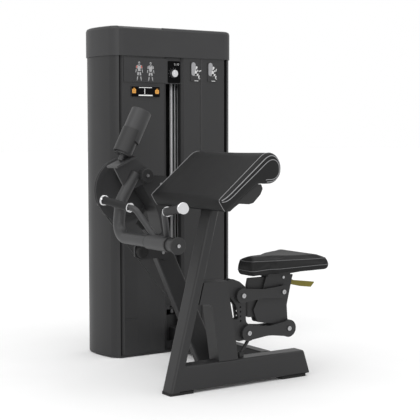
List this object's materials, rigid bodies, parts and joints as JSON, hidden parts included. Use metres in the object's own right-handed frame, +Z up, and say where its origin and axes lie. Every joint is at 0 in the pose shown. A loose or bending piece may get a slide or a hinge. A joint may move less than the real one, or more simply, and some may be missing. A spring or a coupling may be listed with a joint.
{
  "type": "biceps curl machine",
  "caption": "Selectorised biceps curl machine with a weight tower, sloped arm pad, counterweighted arm with swivelling handles and a height-adjustable seat.",
  "frame": {"origin": "middle of the footprint on the floor", "axes": "+Z up, -Y toward the front, where the arm pad and seat stand, +Y toward the weight tower's back, +X along the tower front toward the seat side"},
  "size_m": [1.1288, 1.5144, 1.75],
  "materials": {
    "graphite_paint": "satin powder coat, fine texture",
    "panel_paint": "satin powder coat on folded sheet",
    "arm_paint": "satin powder coat on welded tube",
    "cap_plastic": "fine moulded grain",
    "black_plastic": "moulded",
    "sign_plastic": "smooth plate",
    "chrome": "polished",
    "bright_steel": "drawn bar",
    "bolt_steel": "zinc plated",
    "plate_iron": "black painted casting",
    "black_rubber": "matt",
    "grip_rubber": "soft moulded grip",
    "upholstery": "black coated upholstery with pale piping",
    "cable_coat": "nylon coated wire rope",
    "lever_paint": "yellow moulded lever"
  },
  "bodies": {
    "frame": {"left_column_cover": "graphite_paint", "right_column_cover": "graphite_paint", "tower_frame": "graphite_paint", "front_left_panel": "panel_paint", "front_right_panel": "panel_paint", "rear_cover": "panel_paint", "top_cap": "cap_plastic", "slot_plates": "sign_plastic", "sign_plates": "sign_plastic", "guide_rods": "chrome", "stack_bumpers": "black_rubber", "weight_plates": "plate_iron", "front_leg": "graphite_paint", "base_beam": "graphite_paint", "beam_end_cap": "black_plastic", "cross_member": "graphite_paint", "rubber_feet": "black_rubber", "rear_post": "graphite_paint", "axle_carrier": "graphite_paint", "axle_bushes": "bright_steel", "cam_cable": "cable_coat", "tower_cable": "cable_coat", "stack_cable": "cable_coat", "pulley_brackets": "bolt_steel", "stop_plate": "graphite_paint", "stop_rubbers": "black_rubber", "arm_pad": "upholstery", "pad_shell": "black_plastic", "seat_column": "graphite_paint", "ratchet_plate": "graphite_paint", "gas_clevis": "graphite_paint", "seat_fixings": "bolt_steel", "frame_bolts": "bolt_steel"},
    "arm": {"arm_axle": "bright_steel", "movement_arm": "arm_paint", "counterweight": "arm_paint", "weight_skirt": "black_plastic", "arm_end_caps": "black_plastic", "arm_bolts": "bolt_steel", "cam": "plate_iron", "cam_cable_anchor": "cable_coat"},
    "handle": {"handle_frame": "arm_paint", "handle_grips": "grip_rubber", "handle_rings": "chrome"},
    "upper_link": {"upper_links": "graphite_paint"},
    "lower_link": {"lower_links": "graphite_paint"},
    "carriage": {"seat_carriage": "graphite_paint", "carriage_pins": "bolt_steel", "seat_board": "black_plastic", "seat_cushion": "upholstery"},
    "lever": {"release_lever": "lever_paint"},
    "gas_body": {"gas_cylinder": "black_plastic"},
    "gas_plunger": {"gas_rod": "chrome"},
    "stack_lift_head": {"stack_head": "plate_iron"},
    "pin": {"selector_pin": "chrome"},
    "dial": {"selector_dial": "bright_steel"},
    "pulley_turn": {"turn_pulley": "black_plastic"},
    "pulley_low": {"low_pulley": "black_plastic"},
    "pulley_top": {"top_pulley": "black_plastic"}
  },
  "joints": [
    {"name": "arm_curl", "type": "hinge", "parent": "frame", "child": "arm", "pos_m": [-0.30441, 0.09422, 0.988], "axis": [0, 1, 0], "range_deg": [0, 120], "deforming": ["cam_cable"]},
    {"name": "handle_swing", "type": "hinge", "parent": "arm", "child": "handle", "pos_m": [-0.44742, -0.40178, 0.698], "axis": [0, 1, 0], "range_deg": [-30, 20]},
    {"name": "seat_lift", "type": "hinge", "parent": "frame", "child": "upper_link", "pos_m": [-0.00941, -0.40178, 0.428], "axis": [0, -1, 0], "range_deg": [-12, 25]},
    {"name": "lower_link_turn", "type": "hinge", "parent": "frame", "child": "lower_link", "pos_m": [0.02358, -0.40178, 0.247], "axis": [0, -1, 0], "range_deg": [-12, 25]},
    {"name": "seat_level", "type": "hinge", "parent": "upper_link", "child": "carriage", "pos_m": [0.22859, -0.40178, 0.428], "axis": [0, -1, 0], "range_deg": [-25, 12]},
    {"name": "lever_pull", "type": "hinge", "parent": "carriage", "child": "lever", "pos_m": [0.23958, -0.40178, 0.496], "axis": [0, -1, 0], "range_deg": [0, 14], "stiffness_Nm_per_rad": 3, "springref_deg": -9.74},
    {"name": "gas_swing", "type": "hinge", "parent": "frame", "child": "gas_body", "pos_m": [-0.00242, -0.40178, 0.142], "axis": [0, -1, 0], "range_deg": [-2.61, 5.33]},
    {"name": "gas_stroke", "type": "slide", "parent": "gas_body", "child": "gas_plunger", "axis": [0.5974, 0, 0.802], "range_m": [-0.00835, 0.01718]},
    {"name": "stack_lift", "type": "slide", "parent": "frame", "child": "stack_lift_head", "axis": [0, 0, 1], "range_m": [0, 0.317], "deforming": ["stack_cable"]},
    {"name": "pin_pull", "type": "slide", "parent": "stack_lift_head", "child": "pin", "axis": [0, -1, 0], "range_m": [0, 0.06]},
    {"name": "dial_turn", "type": "hinge", "parent": "frame", "child": "dial", "pos_m": [0.15959, 0.45022, 1.511], "axis": [0, -1, 0], "range_deg": [0, 270]},
    {"name": "turn_pulley_spin", "type": "hinge", "parent": "frame", "child": "pulley_turn", "pos_m": [0.15342, 0.21422, 0.09309], "axis": [0.7773, 0, 0.6291], "range_deg": [-451.3, 0]},
    {"name": "low_pulley_spin", "type": "hinge", "parent": "frame", "child": "pulley_low", "pos_m": [0.17858, 0.63922, 0.107], "axis": [1, 0, 0], "range_deg": [-401.3, 0]},
    {"name": "top_pulley_spin", "type": "hinge", "parent": "frame", "child": "pulley_top", "pos_m": [0.17008, 0.62172, 1.62], "axis": [-0.9909, 0.1348, 0], "range_deg": [0, 286.6]}
  ],
  "couplings": [
    {"joint": "lower_link_turn", "follows": "seat_lift", "ratio": 1},
    {"joint": "seat_level", "follows": "seat_lift", "ratio": -1},
    {"joint": "gas_swing", "follows": "seat_lift", "ratio": 0.2092},
    {"joint": "gas_stroke", "follows": "seat_lift", "m_per_rad": 0.038915},
    {"joint": "stack_lift", "follows": "arm_curl", "m_per_rad": 0.1501},
    {"joint": "turn_pulley_spin", "follows": "arm_curl", "ratio": -3.7525},
    {"joint": "low_pulley_spin", "follows": "arm_curl", "ratio": -3.3356},
    {"joint": "top_pulley_spin", "follows": "arm_curl", "ratio": 2.3797}
  ]
}
